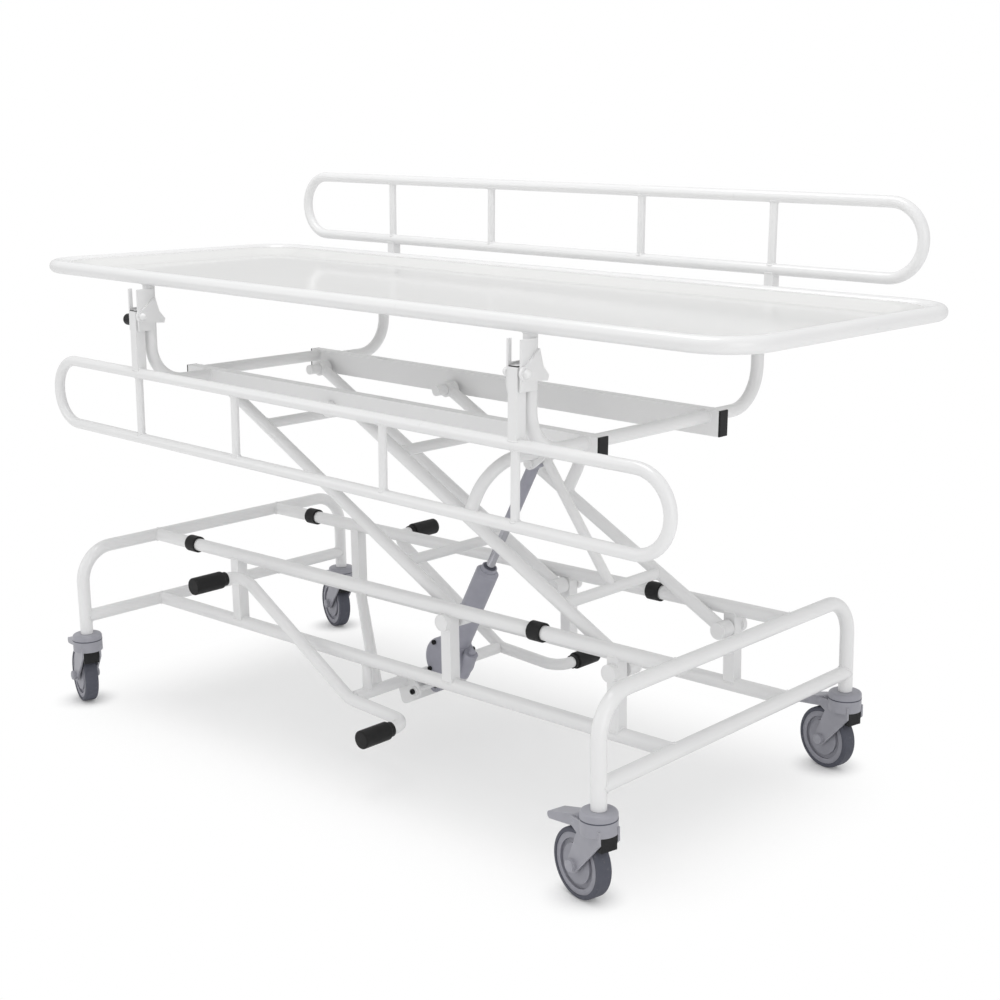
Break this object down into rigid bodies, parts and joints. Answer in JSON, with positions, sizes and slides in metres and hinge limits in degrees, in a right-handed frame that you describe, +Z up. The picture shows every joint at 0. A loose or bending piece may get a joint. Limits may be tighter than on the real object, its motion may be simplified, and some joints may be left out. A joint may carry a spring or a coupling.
{
  "type": "shower trolley",
  "caption": "Height-adjustable shower trolley: shallow white tray in a tube rim, swing-down side rails, foot-pumped hydraulic lift with parallel arms, tube base on braked swivel casters.",
  "frame": {"origin": "point on the floor under the middle of the four caster stems", "axes": "+X along the trolley towards the foot-pedal release end, +Y from the lowered side rail to the raised one, +Z up"},
  "size_m": [1.8993, 0.8514, 1.1783],
  "materials": {
    "white_frame": "smooth white powder coat",
    "tray_gloss": "glossy white sheet",
    "caster_metal": "satin grey",
    "hub_plastic": "satin grey",
    "tyre": "matt dark grey",
    "black_rubber": "matt black",
    "black_plastic": "fine-grained black",
    "pump_grey": "grey paint",
    "rod_chrome": "polished"
  },
  "bodies": {
    "base": {"right_end_hoop": "white_frame", "left_end_hoop": "white_frame", "lower_frame_tubes": "white_frame", "upper_side_tubes": "white_frame", "uprights": "white_frame", "rubber_bumpers": "black_rubber", "lower_pivot_pins": "white_frame", "pump_bracket": "white_frame", "pedal_brace": "white_frame", "caster_stems": "caster_metal"},
    "right_arms": {"right_arms": "white_frame", "right_cross_tubes": "white_frame", "lift_hoop": "white_frame", "rod_bracket": "white_frame", "rod_pin": "white_frame"},
    "left_arms": {"left_arms": "white_frame", "left_cross_tubes": "white_frame"},
    "deck": {"deck_rails": "white_frame", "deck_rail_caps": "black_plastic", "deck_cross_tubes": "white_frame", "deck_posts": "white_frame", "deck_rim": "white_frame", "tray": "tray_gloss", "upper_pivot_pins": "white_frame", "rail_hinge_brackets": "white_frame", "rail_hinge_pins": "white_frame"},
    "near_side_rail": {"near_rail_loop": "white_frame", "near_rail_bars": "white_frame", "near_rail_posts": "white_frame"},
    "far_side_rail": {"far_rail_loop": "white_frame", "far_rail_bars": "white_frame", "far_rail_posts": "white_frame"},
    "rod": {"piston_rod": "rod_chrome", "rod_end": "white_frame"},
    "pump": {"pump_body": "pump_grey", "cylinder": "pump_grey"},
    "pedals": {"pedal_shaft": "white_frame", "pedal_levers": "white_frame", "pedal_grips": "black_plastic"},
    "release_knob": {"release_knob": "black_plastic"},
    "near_left_latch": {"near_left_latch": "white_frame"},
    "near_right_latch": {"near_right_latch": "white_frame"},
    "far_left_latch": {"far_left_latch": "white_frame"},
    "far_right_latch": {"far_right_latch": "white_frame"},
    "near_left_fork": {"near_left_fork": "caster_metal"},
    "near_left_wheel": {"near_left_wheel": "hub_plastic", "near_left_tyre": "tyre"},
    "near_left_brake_pedal": {"near_left_brake_pedal": "caster_metal"},
    "near_right_fork": {"near_right_fork": "caster_metal"},
    "near_right_wheel": {"near_right_wheel": "hub_plastic", "near_right_tyre": "tyre"},
    "near_right_brake_pedal": {"near_right_brake_pedal": "caster_metal"},
    "far_left_fork": {"far_left_fork": "caster_metal"},
    "far_left_wheel": {"far_left_wheel": "hub_plastic", "far_left_tyre": "tyre"},
    "far_left_brake_pedal": {"far_left_brake_pedal": "caster_metal"},
    "far_right_fork": {"far_right_fork": "caster_metal"},
    "far_right_wheel": {"far_right_wheel": "hub_plastic", "far_right_tyre": "tyre"},
    "far_right_brake_pedal": {"far_right_brake_pedal": "caster_metal"}
  },
  "joints": [
    {"name": "lift", "type": "hinge", "parent": "base", "child": "right_arms", "pos_m": [0.622, 0, 0.328], "axis": [0, 1, 0], "range_deg": [-15, 4]},
    {"name": "deck_level", "type": "hinge", "parent": "right_arms", "child": "deck", "pos_m": [-0.1, 0, 0.725], "axis": [0, 1, 0], "range_deg": [-4, 15]},
    {"name": "left_arm_turn", "type": "hinge", "parent": "base", "child": "left_arms", "pos_m": [0.20816, 0, 0.33956], "axis": [0, 1, 0], "range_deg": [-15, 4]},
    {"name": "rod_swing", "type": "hinge", "parent": "right_arms", "child": "rod", "pos_m": [0.27704, 0, 0.63397], "axis": [0, 1, 0], "range_deg": [-3.6, 13.3]},
    {"name": "cylinder_slide", "type": "slide", "parent": "rod", "child": "pump", "axis": [0.4802, 0, 0.8771], "range_m": [-0.032, 0.12]},
    {"name": "pedal_rock", "type": "hinge", "parent": "base", "child": "pedals", "pos_m": [-0.03597, 0, 0.13696], "axis": [0, 1, 0], "range_deg": [-12, 6], "stiffness_Nm_per_rad": 200},
    {"name": "near_side_rail_swing", "type": "hinge", "parent": "deck", "child": "near_side_rail", "pos_m": [0.03758, -0.366, 0.88722], "axis": [0.9996, 0, -0.0279], "range_deg": [-180, 0]},
    {"name": "far_side_rail_swing", "type": "hinge", "parent": "deck", "child": "far_side_rail", "pos_m": [0.03758, 0.366, 0.88722], "axis": [0.9996, 0, -0.0279], "range_deg": [-180, 0]},
    {"name": "release_knob_pull", "type": "slide", "parent": "deck", "child": "release_knob", "axis": [-0.9996, 0, 0.0279], "range_m": [0, 0.008], "stiffness_N_per_m": 400, "springref_m": -0.004},
    {"name": "near_left_latch_turn", "type": "hinge", "parent": "deck", "child": "near_left_latch", "pos_m": [-0.50081, -0.366, 0.90226], "axis": [0.9996, 0, -0.0279], "range_deg": [0, 20]},
    {"name": "near_right_latch_turn", "type": "hinge", "parent": "deck", "child": "near_right_latch", "pos_m": [0.56398, -0.366, 0.87252], "axis": [0.9996, 0, -0.0279], "range_deg": [0, 20]},
    {"name": "far_left_latch_turn", "type": "hinge", "parent": "deck", "child": "far_left_latch", "pos_m": [-0.50081, 0.366, 0.90226], "axis": [0.9996, 0, -0.0279], "range_deg": [-20, 0]},
    {"name": "far_right_latch_turn", "type": "hinge", "parent": "deck", "child": "far_right_latch", "pos_m": [0.56398, 0.366, 0.87252], "axis": [0.9996, 0, -0.0279], "range_deg": [-20, 0]},
    {"name": "near_left_swivel", "type": "hinge", "parent": "base", "child": "near_left_fork", "pos_m": [-0.75, -0.383, 0.171], "axis": [0, 0, 1], "continuous": true},
    {"name": "near_left_wheel_spin", "type": "hinge", "parent": "near_left_fork", "child": "near_left_wheel", "pos_m": [-0.79185, -0.3694, 0.0625], "axis": [0.309, 0.9511, 0], "continuous": true},
    {"name": "near_left_brake_press", "type": "hinge", "parent": "near_left_fork", "child": "near_left_brake_pedal", "pos_m": [-0.79185, -0.3694, 0.141], "axis": [0.309, 0.9511, 0], "range_deg": [-8, 0]},
    {"name": "near_right_swivel", "type": "hinge", "parent": "base", "child": "near_right_fork", "pos_m": [0.75, -0.383, 0.171], "axis": [0, 0, 1], "continuous": true},
    {"name": "near_right_wheel_spin", "type": "hinge", "parent": "near_right_fork", "child": "near_right_wheel", "pos_m": [0.70696, -0.37385, 0.0625], "axis": [0.2079, 0.9781, 0], "continuous": true},
    {"name": "near_right_brake_press", "type": "hinge", "parent": "near_right_fork", "child": "near_right_brake_pedal", "pos_m": [0.70696, -0.37385, 0.141], "axis": [0.2079, 0.9781, 0], "range_deg": [-8, 0]},
    {"name": "far_left_swivel", "type": "hinge", "parent": "base", "child": "far_left_fork", "pos_m": [-0.75, 0.383, 0.171], "axis": [0, 0, 1], "continuous": true},
    {"name": "far_left_wheel_spin", "type": "hinge", "parent": "far_left_fork", "child": "far_left_wheel", "pos_m": [-0.79185, 0.3966, 0.0625], "axis": [0.309, 0.9511, 0], "continuous": true},
    {"name": "far_left_brake_press", "type": "hinge", "parent": "far_left_fork", "child": "far_left_brake_pedal", "pos_m": [-0.79185, 0.3966, 0.141], "axis": [0.309, 0.9511, 0], "range_deg": [-8, 0]},
    {"name": "far_right_swivel", "type": "hinge", "parent": "base", "child": "far_right_fork", "pos_m": [0.75, 0.383, 0.171], "axis": [0, 0, 1], "continuous": true},
    {"name": "far_right_wheel_spin", "type": "hinge", "parent": "far_right_fork", "child": "far_right_wheel", "pos_m": [0.70696, 0.39215, 0.0625], "axis": [0.2079, 0.9781, 0], "continuous": true},
    {"name": "far_right_brake_press", "type": "hinge", "parent": "far_right_fork", "child": "far_right_brake_pedal", "pos_m": [0.70696, 0.39215, 0.141], "axis": [0.2079, 0.9781, 0], "range_deg": [-8, 0]}
  ],
  "couplings": [
    {"joint": "deck_level", "follows": "lift", "ratio": -1},
    {"joint": "left_arm_turn", "follows": "lift", "ratio": 1},
    {"joint": "rod_swing", "follows": "lift", "ratio": -0.881},
    {"joint": "cylinder_slide", "follows": "lift", "m_per_rad": -0.4554}
  ]
}
